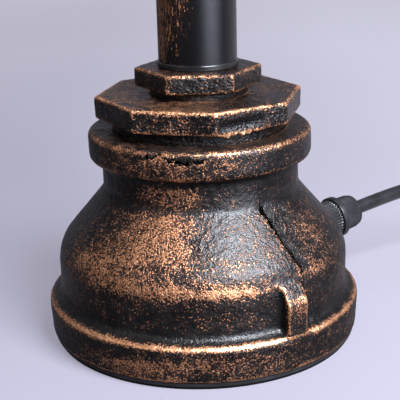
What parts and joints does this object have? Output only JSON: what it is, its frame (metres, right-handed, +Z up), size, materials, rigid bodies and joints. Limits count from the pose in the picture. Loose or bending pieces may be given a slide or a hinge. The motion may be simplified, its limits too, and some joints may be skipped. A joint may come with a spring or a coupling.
{
  "type": "pipe table lamp",
  "caption": "Table lamp of cast pipe fittings: heavy reducer foot, upright pipe with a valve-wheel dimmer, swinging arm, tilting bulb head, and a cord with its plug.",
  "frame": {"origin": "centre of the foot's underside, on the axis of the upright pipe", "axes": "+Z up along the upright pipe, -Y towards the front with the dimmer wheel, +X along the arm towards the bulb"},
  "size_m": [0.2777, 0.1755, 0.4223],
  "materials": {
    "cast_iron": "blackened, rough cast, copper rubbed on its edges",
    "pipe": "blackened smooth pipe with copper streaks",
    "steel": "zinc plated, dull",
    "black_steel": "black paint, satin",
    "brass": "drawn, plain",
    "plated_brass": "nickel plated",
    "black_plastic": "moulded, satin",
    "cord_sheath": "smooth and glossy",
    "core_sheath": "thin coloured sheath",
    "rubber": "plain",
    "tie": "soft strap",
    "white_plastic": "moulded, plain",
    "glass": "clear, faintly amber",
    "filament": "printed strip of emitters in a yellow coat",
    "support_wire": "thin bright wire"
  },
  "bodies": {
    "base": {"foot_pad": "rubber", "bottom_plate": "black_steel", "plate_screws": "black_steel", "base_reducer": "cast_iron", "octagon_bushing": "cast_iron", "hex_bushing": "cast_iron", "foot_ring": "pipe", "upright_pipe": "pipe", "tee": "cast_iron", "union_body": "cast_iron", "union_washer": "rubber", "union_nut": "cast_iron", "dimmer_bushing": "cast_iron", "dimmer_body": "black_plastic", "dimmer_washer": "steel", "dimmer_nut": "steel", "dimmer_leads": "core_sheath", "gland_body": "black_plastic", "gland_cap": "black_plastic", "gland_insert": "rubber", "gland_locknut": "black_plastic", "terminal_block": "white_plastic", "terminal_tubes": "brass", "terminal_screws": "plated_brass", "cord_in_gland": "cord_sheath", "mains_cores": "core_sheath", "riser_cores": "core_sheath", "riser_cable": "cord_sheath", "mains_cord": "cord_sheath", "mains_cord_coil": "cord_sheath", "mains_cord_tail": "cord_sheath", "cord_tie": "tie", "plug_body": "black_plastic", "plug_pins": "brass", "pin_sleeves": "black_plastic"},
    "arm": {"union_tail": "cast_iron", "short_nipple": "cast_iron", "arm_elbow": "cast_iron", "arm_pipe": "pipe", "arm_cable": "cord_sheath"},
    "head": {"head_elbow": "cast_iron", "head_bushing": "cast_iron", "head_tube": "steel", "holder_cup": "cast_iron", "cup_nut": "steel", "lamp_holder": "black_plastic", "screw_shell": "plated_brass", "centre_contact": "brass", "bulb_cap": "plated_brass", "bulb_glass": "glass", "bulb_stem": "glass", "filaments": "filament", "filament_supports": "support_wire", "filament_ring": "support_wire", "head_cable": "cord_sheath"},
    "switch_knob": {"dimmer_shaft": "steel", "hand_wheel": "cast_iron", "wheel_nut": "steel"}
  },
  "joints": [
    {"name": "arm_swing", "type": "hinge", "parent": "base", "child": "arm", "pos_m": [0, 0, 0.343], "axis": [0, 0, 1], "range_deg": [-120, 120]},
    {"name": "head_tilt", "type": "hinge", "parent": "arm", "child": "head", "pos_m": [0.1, 0, 0.404], "axis": [1, 0, 0], "range_deg": [-90, 90]},
    {"name": "dimmer_turn", "type": "hinge", "parent": "base", "child": "switch_knob", "pos_m": [0, -0.05, 0.285], "axis": [0, -1, 0], "range_deg": [0, 270]}
  ]
}
